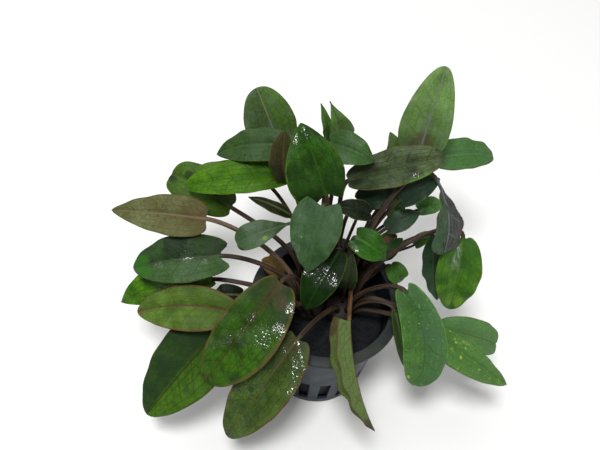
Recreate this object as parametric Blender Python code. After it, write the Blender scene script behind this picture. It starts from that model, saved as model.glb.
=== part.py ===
"""Cryptocoryne, a potted aquarium plant, in a small net pot.

Metres, +Z up. The origin is the middle of the pot's base, and the pot stands on Z = 0.
The camera of the photograph looks along +Y and down, so -Y is the front and -X is the left.
Sizes below are millimetres and degrees, and colours are linear.
"""
import math
from collections import namedtuple

import bmesh
import bpy
from mathutils import Matrix, Vector

MM = 0.001
# Meshes that touch keep this gap
GAP = 0.3
# Edges sharper than this stay sharp in the shading
SHARP_ANGLE = 50

# Net pot
POT_HEIGHT = 50.0
POT_BASE_RADIUS = 19.0
POT_TOP_RADIUS = 25.0
POT_WALL = 1.2
LIP_RADIUS = 28.0
LIP_THICKNESS = 1.6
SLOT_COUNT = 16
SLOT_BOTTOM = 4.0
SLOT_TOP = 20.0
FLOOR_THICKNESS = 1.6
FLOOR_SLOT_INNER = 7.0
FLOOR_SLOT_OUTER = 15.0
POT_COLOUR = (0.06, 0.07, 0.09)

# Growing medium
MEDIUM_TOP = 40.0
MEDIUM_SIDES = 24
MEDIUM_FOOT_CHAMFER = 1.0
MEDIUM_TOP_CHAMFER = 1.5
# The flats of the faceted pot wall lie this much inside its corners
FACET_DEPTH = 0.1
MEDIUM_COLOUR = (0.03, 0.035, 0.03)

# Crowns: where each tuft of leaves grows, as seen from above
CROWN_RADIUS = 5.8
CROWN_HEIGHT = 3.6
CROWN_SIDES = 12
CROWN_FOOT_CHAMFER = 1.2
CROWN_TOP_CHAMFER = 0.5
CROWN_COLOUR = (0.12, 0.08, 0.06)
CROWNS = {
    "back_left": (-7, 12),
    "front_left": (-6, 0),
    "front_right": (6, 1),
    "back_right": (6, 13),
}

# Leaves. Their stalks stand on a crown in an inner and an outer ring
RING_RADIUS = {"inner": 2.3, "outer": 4.8}
ROOT_HEIGHT = MEDIUM_TOP + CROWN_HEIGHT + 2 * GAP
STALK_RADIUS_LOW = 1.0
STALK_RADIUS_HIGH = 0.8
# Blades narrower than this have thinner stalks
FULL_STALK_WIDTH = 12.0
STALK_STEPS = (0.0, 0.28, 0.56, 0.82)
BLADE_STEPS = (0.04, 0.14, 0.32, 0.52, 0.72, 0.88, 1.0)
BLADE_THICKNESS_BASE = 0.8
BLADE_THICKNESS_TIP = 0.48
NARROWEST_HALF_WIDTH = 0.25
# A ring of points goes round the blade: out on top from edge to edge, and back underneath
RING_ACROSS = (-1, -0.5, 0, 0.5, 1, 0.5, 0, -0.5)
RING_LIFT = (0, 1, 1, 1, 0, -1, -1, -1)
# The blades turn their upper sides up and to the front
LIGHT = Vector((0, -0.4, 0.92))
# Share of the stalk over which its direction is measured
SMALL_STEP = 0.01
TONES = {
    "dark": (0.013, 0.032, 0.008),
    "green": (0.048, 0.127, 0.026),
    "bright": (0.114, 0.262, 0.032),
    "grey": (0.107, 0.144, 0.084),
    "olive": (0.138, 0.127, 0.061),
    "yellow": (0.305, 0.205, 0.032),
}

Leaf = namedtuple("Leaf", "crown ring bearing base tip width tone "
                          "turn twist cup bow side lobe widest full point skew rise reach")


def leaf(crown, ring, bearing, base, tip, width, tone, turn=0, twist=0, cup=12, bow=3, side=0, lobe=2,
         widest=0.38, full=0.65, point=0.7, skew=0, rise=0.5, reach=0.22):
    """One row of the leaf table.

    crown, ring, bearing: where the stalk stands, the bearing in degrees from +X.
    base, tip: ends of the blade's midrib.   width: widest span of the blade.
    tone: the blade's colour.
    turn, twist: the blade's roll about its midrib, and how much more it rolls by the tip.
    cup: how far each half is raised.   bow: the midrib's arch.   side: its bend to the right.
    lobe: how far the base lobes reach back.   widest: where along the blade it is widest.
    full, point: how blunt the base and the tip are, from 0.25, blunt, to 1.2, pointed.
    skew: how much wider the right half is, as a share of half the width.
    rise, reach: the stalk's first climb and its last run, as shares of its length.
    """
    return Leaf(crown, ring, bearing, base, tip, width, tone,
                turn, twist, cup, bow, side, lobe, widest, full, point, skew, rise, reach)


LEAVES = {
    "leaf_back_1": leaf("back_left", "outer", 115, (-27, 40, 80), (-38, 45, 106), 19, "dark",
                        widest=0.5, full=0.5, point=0.4, skew=-0.05),
    "leaf_back_2": leaf("back_left", "inner", 120, (-22, 28, 99), (-48, 28, 86.5), 12.5, "dark",
                        side=1, full=0.5, skew=-0.05, reach=0.12),
    "leaf_back_3": leaf("back_left", "inner", 265, (-21, 20, 89), (-24, 25, 109.5), 10, "olive",
                        turn=-20, cup=20, lobe=0, widest=0.5, point=0.4, rise=0.8),
    "leaf_centre_tall": leaf("back_left", "inner", 50, (-7, 15, 93), (-19.5, 27, 113), 20.5, "green",
                             cup=8, lobe=4, widest=0.34, full=0.5, point=0.75, skew=-0.16),
    "leaf_centre_front": leaf("back_left", "inner", 345, (-7, 9, 94), (-8, -5, 73.5), 18, "grey",
                              lobe=3, widest=0.25, full=0.6, point=0.8, skew=0.08, reach=0.1),
    "leaf_left_small": leaf("front_left", "outer", 110, (-17, 8, 82), (-34, -2, 78), 9.5, "grey",
                            lobe=0, widest=0.7, point=0.3, skew=0.05),
    "leaf_left_long": leaf("back_left", "inner", 185, (-21, 25, 87), (-56, 15.5, 82), 12.5, "bright",
                           widest=0.45, full=0.5, point=0.4, reach=0.1),
    "leaf_left_under": leaf("front_left", "outer", 166, (-47, 7, 76), (-80, 3, 76), 15.5, "olive",
                            bow=2, lobe=1, widest=0.3, full=0.6, skew=-0.05),
    "leaf_left_back": leaf("back_left", "outer", 195, (-41, 19, 69), (-64, 24, 75), 17, "green",
                           widest=0.5, full=0.5, point=0.25),
    "leaf_left_far": leaf("back_left", "outer", 142, (-33, 28, 77), (-56, 25, 79), 9, "green"),
    "leaf_left_sliver": leaf("back_left", "outer", 168, (-19, 16, 76), (-34, 17, 80), 4.5, "dark",
                             skew=-0.2),
    "leaf_left_dark": leaf("front_left", "outer", 192, (-40, -2, 68), (-70, -9, 60), 18, "dark",
                           bow=4, lobe=4, full=0.5, point=0.6, rise=0.6),
    "leaf_left_low": leaf("front_left", "outer", 219, (-42, -5, 56), (-74, -15, 44), 15.5, "bright",
                          widest=0.42, full=0.5, point=0.75, skew=0.35, rise=0.35, reach=0.1),
    "leaf_left_young": leaf("front_left", "outer", 246, (-31, -8, 54), (-41, -9, 51), 8, "dark", rise=0.3),
    "leaf_left_front": leaf("front_left", "outer", 302, (-31, -18.5, 59.5), (-65.5, -21.5, 51.5), 17,
                            "bright", side=2, widest=0.42, full=0.6, point=0.6, skew=-0.12),
    "leaf_front_far_left": leaf("front_left", "outer", 274, (-33, -17.5, 52), (-56, -48.5, 26), 26, "green",
                                full=0.55, point=0.6),
    "leaf_front_wide": leaf("front_left", "inner", 190, (-16.5, -11, 73), (-35.5, -40.5, 47), 23, "green",
                            bow=4, widest=0.45, full=0.5, point=0.5, skew=-0.2),
    "leaf_front_wet": leaf("front_right", "inner", 240, (-7, -24, 60), (-25.5, -50.5, 26), 20.3, "green",
                           bow=4, full=0.6, point=0.55, skew=-0.05, rise=0.3),
    "leaf_front_folded": leaf("back_right", "outer", 293, (9, -17, 67), (26, -40.5, 33.5), 16, "olive",
                              turn=70, cup=70, side=-1.5, lobe=3, widest=0.25, full=0.4, point=0.65,
                              rise=0.35, reach=0.08),
    "leaf_centre_dark": leaf("back_left", "outer", 340, (1, 4, 75.7), (-6.5, -12, 59.7), 13.5, "dark",
                             skew=0.1, reach=0.15),
    "leaf_centre_shaded": leaf("front_right", "inner", 90, (6, -1, 62), (6, 4, 77), 7, "dark", reach=0.15),
    "leaf_right_1": leaf("front_right", "inner", 330, (27.5, -2, 67.5), (37.8, -22, 38.5), 16.5, "green",
                         bow=4, side=-4, lobe=5, widest=0.55, full=0.4, point=0.45, skew=0),
    "leaf_right_2": leaf("front_right", "outer", 338, (35, -7, 57), (72, -12, 34), 12, "green",
                         skew=0.25, rise=0.3, reach=0.1),
    "leaf_right_3": leaf("front_right", "outer", 6, (43, -1, 47), (66, 2.5, 37), 13.5, "grey",
                         cup=20, widest=0.5, full=0.5, point=0.25, rise=0.7),
    "leaf_right_behind": leaf("front_right", "outer", 311, (25, -6, 60), (33, -15, 38), 5, "green",
                              rise=0.7),
    "leaf_right_hanging": leaf("back_right", "outer", 340, (35, 24, 66), (42, 16, 38), 9, "dark",
                               turn=40, bow=2, rise=0.6),
    "leaf_right_bright": leaf("front_right", "outer", 34, (44, 21, 74), (46, 8, 46.5), 17, "bright",
                              full=0.75, point=0.6, rise=0.8),
    "leaf_right_grey": leaf("back_right", "inner", 308, (30, 29, 94), (38, 15, 72), 15.5, "grey",
                            turn=-50, twist=30, lobe=0, widest=0.68, full=0.7, point=0.4, skew=0.2,
                            rise=0.8, reach=0.22),
    "leaf_back_tallest": leaf("back_right", "inner", 164, (22, 37, 96), (24.8, 56, 122), 18, "green",
                              bow=2, widest=0.33, point=0.5, skew=-0.08, reach=0.3),
    "leaf_back_right": leaf("back_right", "inner", 92, (30, 47, 85), (51, 58, 79), 12.5, "green",
                            widest=0.3, full=0.5, point=0.4),
    "leaf_back_long": leaf("back_right", "outer", 199, (0, 24, 91.5), (30, 32, 104), 14, "grey",
                           bow=1, widest=0.5, full=0.5, point=0.4, reach=0.12),
    "leaf_back_glossy": leaf("back_left", "outer", 34, (-9, 30, 102), (7, 26, 101.5), 12, "green",
                             bow=2, reach=0.12),
    "leaf_back_point_1": leaf("back_left", "outer", 88, (-10, 46, 84), (-15, 47, 102), 4.5, "green"),
    "leaf_back_point_2": leaf("back_left", "outer", 61, (-6, 48, 84), (-12, 47, 104), 10, "green",
                              widest=0.3, point=1.2),
    "leaf_back_tip": leaf("back_right", "outer", 145, (14, 46, 84), (11, 47, 94), 7, "green"),
    "leaf_inner_1": leaf("back_right", "outer", 172, (5, 24, 80.5), (17.5, 28, 84.5), 10, "dark",
                         bow=2, point=0.5),
    "leaf_inner_2": leaf("back_right", "inner", 40, (19, 24, 85.7), (31, 32, 91.7), 9, "dark",
                         rise=0.65, reach=0.15),
    "leaf_inner_3": leaf("back_right", "outer", 118, (19, 32, 64), (19, 38, 73), 7, "green", rise=0.65),
    "leaf_inner_4": leaf("back_right", "outer", 10, (17, 20.5, 73), (27, 26.5, 77), 8, "grey",
                         bow=2, rise=0.95),
    "leaf_inner_5": leaf("back_right", "outer", 91, (28, 38, 64), (37, 41, 66), 7, "green"),
    "leaf_inner_6": leaf("back_right", "inner", 236, (9, 16, 85), (-4, 14, 88), 7.5, "olive", reach=0.1),
    "leaf_inner_7": leaf("front_right", "outer", 62, (21, 15, 57), (26, 12, 52), 8, "green",
                         lobe=1, rise=0.2, reach=0.15),
    "leaf_inner_8": leaf("back_right", "outer", 37, (29, 26, 58), (34, 30, 62), 5, "green"),
    "leaf_inner_bright": leaf("front_right", "outer", 100, (6, 8, 81), (18, 6, 74), 11, "bright",
                              widest=0.3, full=0.6, point=1, reach=0.08),
    "leaf_inner_notched": leaf("back_right", "outer", 64, (20, 19, 69), (15, 13, 62), 9.5, "green",
                               lobe=3, rise=0.9),
    "leaf_yellow": leaf("front_left", "outer", 138, (-18, 7, 50.5), (-26.5, 9, 53.5), 8, "yellow"),
}


def bezier(points, t):
    """Point on a Bezier curve of any order."""
    row = [Vector(p) for p in points]
    while len(row) > 1:
        row = [a.lerp(b, t) for a, b in zip(row, row[1:])]
    return row[0]


def blade_axis(spec):
    """Control points of the blade's midrib and the way that its upper side faces."""
    base, tip = Vector(spec.base), Vector(spec.tip)
    along = (tip - base).normalized()
    face = (LIGHT - along * along.dot(LIGHT)).normalized()
    face = Matrix.Rotation(math.radians(spec.turn), 3, along) @ face
    right = along.cross(face)
    middle = (base + tip) / 2 + 2 * spec.bow * face + 2 * spec.side * right
    return (base, middle, tip), face


def stalk_axis(spec):
    """Control points of the stalk, from its crown to the blade, which it meets in line."""
    x, y = CROWNS[spec.crown]
    bearing = math.radians(spec.bearing)
    radius = RING_RADIUS[spec.ring]
    root = Vector((x + radius * math.cos(bearing), y + radius * math.sin(bearing), ROOT_HEIGHT))
    (base, middle, tip), _ = blade_axis(spec)
    length = (base - root).length
    first = root + Vector((0, 0, spec.rise * length))
    last = base - (middle - base).normalized() * spec.reach * length
    return root, first, last, base


def stalk_share(spec):
    """Thickness of a leaf's stalk as a share of the thickest, less for small leaves."""
    return 0.3 + 0.7 * min(spec.width / FULL_STALK_WIDTH, 1)


def outline(spec, t):
    """Share of its widest span that the blade has at share t of its length."""
    power = math.log(0.5) / math.log(spec.widest)
    bluntness = spec.full + (spec.point - spec.full) * t
    return max(math.sin(math.pi * t ** power), 0) ** bluntness


def blade_point(spec, t, across, lift):
    """Point of the blade at share t of its length and share across of its half width."""
    controls, face = blade_axis(spec)
    centre = bezier(controls, t)
    along = ((controls[1] - controls[0]).lerp(controls[2] - controls[1], t)).normalized()
    right = along.cross(face).normalized()
    right = Matrix.Rotation(math.radians(spec.twist * t), 3, along) @ right
    normal = right.cross(along)
    cup = math.radians(spec.cup)
    share = outline(spec, t)
    half = 0.5 * spec.width * share * (1 + spec.skew * math.copysign(1, across))
    reach = max(half, NARROWEST_HALF_WIDTH) * across
    height = abs(reach) * math.sin(cup)
    back = spec.lobe * across ** 2 * 4 * share * (1 - share) if t < spec.widest else 0
    return centre + right * reach * math.cos(cup) + normal * (height + lift) - along * back


def stalk_rings(spec):
    """Round rings of points of the stalk, in a frame carried back from the blade, so that none twists."""
    controls = stalk_axis(spec)
    (base, middle, _), face = blade_axis(spec)
    right = (middle - base).cross(face).normalized()
    rings = []
    for step in reversed(STALK_STEPS):
        centre = bezier(controls, step)
        ahead, behind = step + SMALL_STEP, max(step - SMALL_STEP, 0)
        along = (bezier(controls, ahead) - bezier(controls, behind)).normalized()
        right = (right - along * along.dot(right)).normalized()
        normal = right.cross(along)
        radius = stalk_share(spec) * (STALK_RADIUS_LOW + (STALK_RADIUS_HIGH - STALK_RADIUS_LOW) * step)
        sides = len(RING_ACROSS)
        ring = []
        for i in range(sides):
            angle = math.pi - 2 * math.pi * i / sides
            ring.append(centre + radius * (math.cos(angle) * right + math.sin(angle) * normal))
        rings.append(ring)
    return rings[::-1]


def blade_rings(spec):
    """Flat rings of points across the blade: its edges, three points on top and three underneath."""
    rings = []
    for step in BLADE_STEPS:
        half = (BLADE_THICKNESS_BASE + (BLADE_THICKNESS_TIP - BLADE_THICKNESS_BASE) * step) / 2
        rings.append([blade_point(spec, step, across, lift * half)
                      for across, lift in zip(RING_ACROSS, RING_LIFT)])
    return rings


def add_object(name, body, finish):
    """Put a bmesh into the scene as a named object, turned from millimetres to metres."""
    bmesh.ops.scale(body, vec=(MM, MM, MM), verts=body.verts)
    bmesh.ops.recalc_face_normals(body, faces=body.faces)
    mesh = bpy.data.meshes.new(name)
    body.to_mesh(mesh)
    body.free()
    mesh.shade_smooth()
    mesh.set_sharp_from_angle(angle=math.radians(SHARP_ANGLE))
    mesh.materials.append(finish)
    bpy.context.scene.collection.objects.link(bpy.data.objects.new(name, mesh))


def loft(rings):
    """Closed body through a row of rings with as many points each."""
    body = bmesh.new()
    rows = [[body.verts.new(p) for p in ring] for ring in rings]
    for low, high in zip(rows, rows[1:]):
        for i in range(len(low)):
            j = (i + 1) % len(low)
            body.faces.new((low[i], low[j], high[j], high[i]))
    body.faces.new(rows[0])
    body.faces.new(rows[-1])
    return body


def circle(radius, height, sides, centre=(0, 0)):
    """Points of a level circle."""
    points = []
    for i in range(sides):
        angle = 2 * math.pi * i / sides
        across, up = radius * math.cos(angle), radius * math.sin(angle)
        points.append(Vector((centre[0] + across, centre[1] + up, height)))
    return points


def material(name, colour, roughness):
    """Principled material with the part's colour and roughness."""
    result = bpy.data.materials.new(name)
    result.use_nodes = True
    shader = result.node_tree.nodes["Principled BSDF"]
    shader.inputs["Base Color"].default_value = (*colour, 1)
    shader.inputs["Roughness"].default_value = roughness
    shader.inputs["Metallic"].default_value = 0
    result.diffuse_color = (*colour, 1)
    return result


def pot_radius(height):
    """Outer radius of the tapered pot wall."""
    return POT_BASE_RADIUS + (POT_TOP_RADIUS - POT_BASE_RADIUS) * height / POT_HEIGHT


def make_pot():
    """Net pot: a turned grid of floor, wall and lip faces, with slots left out and then given depth."""
    lip_under = POT_HEIGHT - LIP_THICKNESS
    outer = [(FLOOR_SLOT_INNER, 0), (FLOOR_SLOT_OUTER, 0), (POT_BASE_RADIUS, 0),
             (pot_radius(SLOT_BOTTOM), SLOT_BOTTOM), (pot_radius(SLOT_TOP), SLOT_TOP),
             (pot_radius(lip_under), lip_under), (LIP_RADIUS, lip_under), (LIP_RADIUS, POT_HEIGHT)]
    inner = [(FLOOR_SLOT_INNER, FLOOR_THICKNESS), (FLOOR_SLOT_OUTER, FLOOR_THICKNESS),
             (POT_BASE_RADIUS - POT_WALL, FLOOR_THICKNESS),
             (pot_radius(SLOT_BOTTOM) - POT_WALL, SLOT_BOTTOM), (pot_radius(SLOT_TOP) - POT_WALL, SLOT_TOP),
             (pot_radius(lip_under) - POT_WALL, lip_under), (pot_radius(POT_HEIGHT) - POT_WALL, POT_HEIGHT)]
    # The floor's strip of slots and the wall's are the first and the fourth band of the grid
    slotted = ((0, 1), (3, 4))
    columns = 2 * SLOT_COUNT
    body = bmesh.new()
    grids = []
    for profile in (outer, inner):
        rows = [[body.verts.new(p) for p in circle(radius, height, columns)] for radius, height in profile]
        grids.append(rows)
        body.faces.new(rows[0])
        for r in range(len(rows) - 1):
            for c in range(columns):
                if (r, r + 1) in slotted and c % 2:
                    continue
                d = (c + 1) % columns
                body.faces.new((rows[r][c], rows[r][d], rows[r + 1][d], rows[r + 1][c]))
    out, inn = grids
    for c in range(columns):
        d = (c + 1) % columns
        body.faces.new((out[-1][c], out[-1][d], inn[-1][d], inn[-1][c]))
        if c % 2:
            for low, high in slotted:
                ring = ((low, c), (low, d), (high, d), (high, c))
                for (r0, c0), (r1, c1) in zip(ring, ring[1:] + ring[:1]):
                    body.faces.new((out[r0][c0], out[r1][c1], inn[r1][c1], inn[r0][c0]))
    add_object("net_pot", body, material("moulded plastic", POT_COLOUR, 0.5))


def make_medium():
    """Growing medium: a tapered plug between the slotted floor and just under the rim."""
    bottom = FLOOR_THICKNESS + GAP
    low = POT_BASE_RADIUS - POT_WALL - GAP
    high = pot_radius(MEDIUM_TOP) - POT_WALL - GAP - FACET_DEPTH
    rings = [circle(low - MEDIUM_FOOT_CHAMFER, bottom, MEDIUM_SIDES),
             circle(low, bottom + MEDIUM_FOOT_CHAMFER, MEDIUM_SIDES),
             circle(high, MEDIUM_TOP - MEDIUM_TOP_CHAMFER, MEDIUM_SIDES),
             circle(high - MEDIUM_TOP_CHAMFER, MEDIUM_TOP, MEDIUM_SIDES)]
    add_object("growing_medium", loft(rings), material("mineral wool", MEDIUM_COLOUR, 0.95))


def make_crown(name, centre):
    """Crown: the short stem stock that a tuft of leaves grows from."""
    bottom = MEDIUM_TOP + GAP
    top = bottom + CROWN_HEIGHT
    rings = [circle(CROWN_RADIUS - CROWN_FOOT_CHAMFER, bottom, CROWN_SIDES, centre),
             circle(CROWN_RADIUS, bottom + CROWN_FOOT_CHAMFER, CROWN_SIDES, centre),
             circle(CROWN_RADIUS, top - CROWN_TOP_CHAMFER, CROWN_SIDES, centre),
             circle(CROWN_RADIUS - CROWN_TOP_CHAMFER, top, CROWN_SIDES, centre)]
    add_object("crown_" + name, loft(rings), material("stem tissue " + name, CROWN_COLOUR, 0.6))


def make_leaf(name, spec):
    """Leaf: its stalk and its blade in one body."""
    add_object(name, loft(stalk_rings(spec) + blade_rings(spec)),
               material("leaf tissue " + name[len("leaf_"):], TONES[spec.tone], 0.4))


def main():
    """Make the whole plant in its pot."""
    for obj in list(bpy.data.objects):
        bpy.data.objects.remove(obj)
    make_pot()
    make_medium()
    for name, centre in CROWNS.items():
        make_crown(name, centre)
    for name, spec in LEAVES.items():
        make_leaf(name, spec)


main()
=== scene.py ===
"""Looks of the potted cryptocoryne: leaves, crowns, growing medium, net pot, light and camera.

Sizes are millimetres and degrees, turned to metres where a mesh is made. +Z is up, the pot stands
on Z = 0, and the camera looks along +Y and down.
"""
import math
from collections import namedtuple
from functools import partial
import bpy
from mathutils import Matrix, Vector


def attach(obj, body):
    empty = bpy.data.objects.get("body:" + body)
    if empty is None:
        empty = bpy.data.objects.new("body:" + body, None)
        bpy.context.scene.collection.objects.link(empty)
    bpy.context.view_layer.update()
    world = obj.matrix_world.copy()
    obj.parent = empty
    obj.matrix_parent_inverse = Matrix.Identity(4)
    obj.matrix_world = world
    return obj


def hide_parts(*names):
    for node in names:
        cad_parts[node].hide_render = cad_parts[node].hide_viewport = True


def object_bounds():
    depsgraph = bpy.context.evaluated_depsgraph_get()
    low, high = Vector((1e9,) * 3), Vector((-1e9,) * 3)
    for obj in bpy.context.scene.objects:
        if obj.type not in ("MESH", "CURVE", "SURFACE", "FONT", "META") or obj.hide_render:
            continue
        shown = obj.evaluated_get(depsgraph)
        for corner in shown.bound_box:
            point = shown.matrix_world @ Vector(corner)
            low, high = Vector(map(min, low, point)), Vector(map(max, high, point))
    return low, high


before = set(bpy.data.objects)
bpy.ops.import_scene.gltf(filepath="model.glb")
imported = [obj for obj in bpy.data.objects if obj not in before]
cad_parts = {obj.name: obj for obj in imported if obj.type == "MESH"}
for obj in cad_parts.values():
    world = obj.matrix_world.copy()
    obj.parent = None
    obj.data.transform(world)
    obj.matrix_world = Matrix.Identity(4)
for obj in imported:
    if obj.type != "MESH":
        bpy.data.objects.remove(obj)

from types import SimpleNamespace

import bpy
import numpy as np
from mathutils import Matrix, Vector

MM = 0.001
CAD_BOX = [list(corner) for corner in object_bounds()]

# Net pot
POT_HEIGHT = 50.0
POT_BASE_RADIUS = 19.0
POT_TOP_RADIUS = 25.0
POT_WALL = 1.2
LIP_RADIUS = 28.0
LIP_THICKNESS = 1.6
SLOT_COUNT = 16
SLOT_BOTTOM = 4.0
SLOT_TOP = 20.0
FLOOR_THICKNESS = 1.6
FLOOR_SLOT_INNER = 7.0
FLOOR_SLOT_OUTER = 15.0
# Columns of faces across one slot or one strut
POT_FACES = 6
# Heights of the rows of faces on the plain upper wall
WALL_ROWS = (24, 30, 36, 42)
# Outer edges are rounded by three faces: their reach and the step of the middle one
EDGE_ROUNDING = 0.3
EDGE_STEP = 0.1
SLOT_EDGE_ROUNDING = 0.25

# Growing medium, with the gap that it keeps to the pot
GAP = 0.3
MEDIUM_TOP = 40.0
MEDIUM_SIDES = 96
MEDIUM_TOP_RINGS = 14
LUMP_DEPTH = 0.35
BROAD_LUMP = 5.0
FINE_LUMP = 2.2
FIBRE_COUNT = 500
FIBRE_LENGTHS = (2, 5)
FIBRE_RADIUS = 0.07
FIBRE_RINGS = 6
FIBRE_SIDES = 3

# Crowns
CROWN_RADIUS = 5.8
CROWN_HEIGHT = 3.6
CROWN_SIDES = 40
CROWN_RINGS = 14
SCAR_ROWS = 4
SCAR_DEPTH = 0.2
CROWNS = {
    "back_left": (-7, 12),
    "front_left": (-6, 0),
    "front_right": (6, 1),
    "back_right": (6, 13),
}

# Form of a leaf, the same as that of its solid in the frame
RING_RADIUS = {"inner": 2.3, "outer": 4.8}
ROOT_HEIGHT = MEDIUM_TOP + CROWN_HEIGHT + 2 * GAP
STALK_RADIUS_LOW = 1.0
STALK_RADIUS_HIGH = 0.8
# Blades narrower than this have thinner stalks
FULL_STALK_WIDTH = 12.0
MIDRIB_TIP_RADIUS = 0.25
# The way that the blades turn their upper side
LIGHT = Vector((0, -0.4, 0.92))

# Fine surface of a leaf
BLADE_HALF_THICKNESS = 0.26
BLADE_TIP_HALF_THICKNESS = 0.16
STALK_RINGS = 22
RING_SPACING = 0.85
# Fewest and most rings along a blade, and spaces between points across it
RING_LIMITS = (16, 56)
POINT_LIMITS = (10, 28)
# The stalk's flatter upper side and the channel in it, as shares of the stalk's radius
UPPER_RADIUS = 0.82
CHANNEL_DEPTH = 0.25
CHANNEL_WIDTH = 0.35
# The groove over the midrib: width, depth at the base, and what it gains within the first tenth
GROOVE_WIDTH = 0.45
GROOVE_DEPTH = 0.2
GROOVE_GAIN = 0.15
# Sunk side veins
VEIN_PITCH = 3.6
VEIN_SLANT = 0.75
VEIN_WIDTH = 0.55
VEIN_DEPTH = 0.13
# Wavelength and share of the width of the margin's uneven line, and wavelength of the buckles
MARGIN_WAVE = 9.0
MARGIN_UNEVEN = 0.012
BUCKLE_WAVE = 7.0
# How far each half swells between midrib and margin, as a share of its width
SWELL = 0.09
# Share of the blade's length in which its rings pass from the stalk's round form to the flat sheet
ROUND_TO_FLAT = 0.018

# Patterns of the leaf tissue: how many of each lie in a millimetre. Real cells are too fine to show in
# the render, so they are drawn 0.7 mm wide, and in clusters of 0.8 mm
VEIN_BENDS = 0.25
CLOUDS = 0.16
SPECKLES = 1.3
# Patches of the painted grey sheen
FILM_PATCHES = 0.12
RAGGED_EDGES = 0.45
FLECKS = 0.75
STREAKS_ACROSS = 2.2
STREAKS_ALONG = 0.12
CELLS = 1.4
WET_FLECKS = 1.1
# The net of veins: cells in half the blade's width, and in a millimetre of its length
NET_ACROSS = 5.0
NET_ALONG = 0.4
# Each leaf takes its patterns from a layer of its own, this many millimetres from the next
LAYER = 7.3

# Patterns of the pot, the medium and the crowns, in a millimetre too. The grain of the mould and the
# fibres are drawn coarser than they are, so that they show
ALGAE_PATCHES = 0.14
ALGAE_SPECKS = 0.33
MOULD_GRAIN = 2.5
WOOL_CLOUDS = 0.13
WOOL_FIBRES = 1.5
STEM_GRAIN = 0.6
# Heights between which the film of lime fades out and that of algae fades in
LIME_FADE = (46.0, 48.8)
ALGAE_FADE = (44.0, 48.5)

# Seeds of the random draws, from which leaves and crowns count on
LEAF_SEED = 100
CROWN_SEED = 60
FIBRE_SEED = 7
BROAD_LUMP_SEED = 21
FINE_LUMP_SEED = 22


def leaf(crown, ring, bearing, base, tip, width, tone, turn=0, twist=0, cup=12, bow=3, side=0, lobe=2,
         widest=0.38, full=0.65, point=0.7, skew=0, rise=0.5, reach=0.22):
    """One row of the leaf table.

    crown, ring, bearing: where the stalk stands, the bearing in degrees from +X.
    base, tip: ends of the blade's midrib.   width: widest span of the blade.
    tone: the blade's slot in the record; not used here.
    turn, twist: the blade's roll about its midrib, and how much more it rolls by the tip.
    cup: how far each half is raised.   bow: the midrib's arch.   side: its bend to the right.
    lobe: how far the base lobes reach back.   widest: where along the blade it is widest.
    full, point: how blunt the base and the tip are, from 0.25, blunt, to 1.2, pointed.
    skew: how much wider the right half is, as a share of half the width.
    rise, reach: the stalk's first climb and its last run, as shares of its length.
    """
    return SimpleNamespace(**locals())


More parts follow.
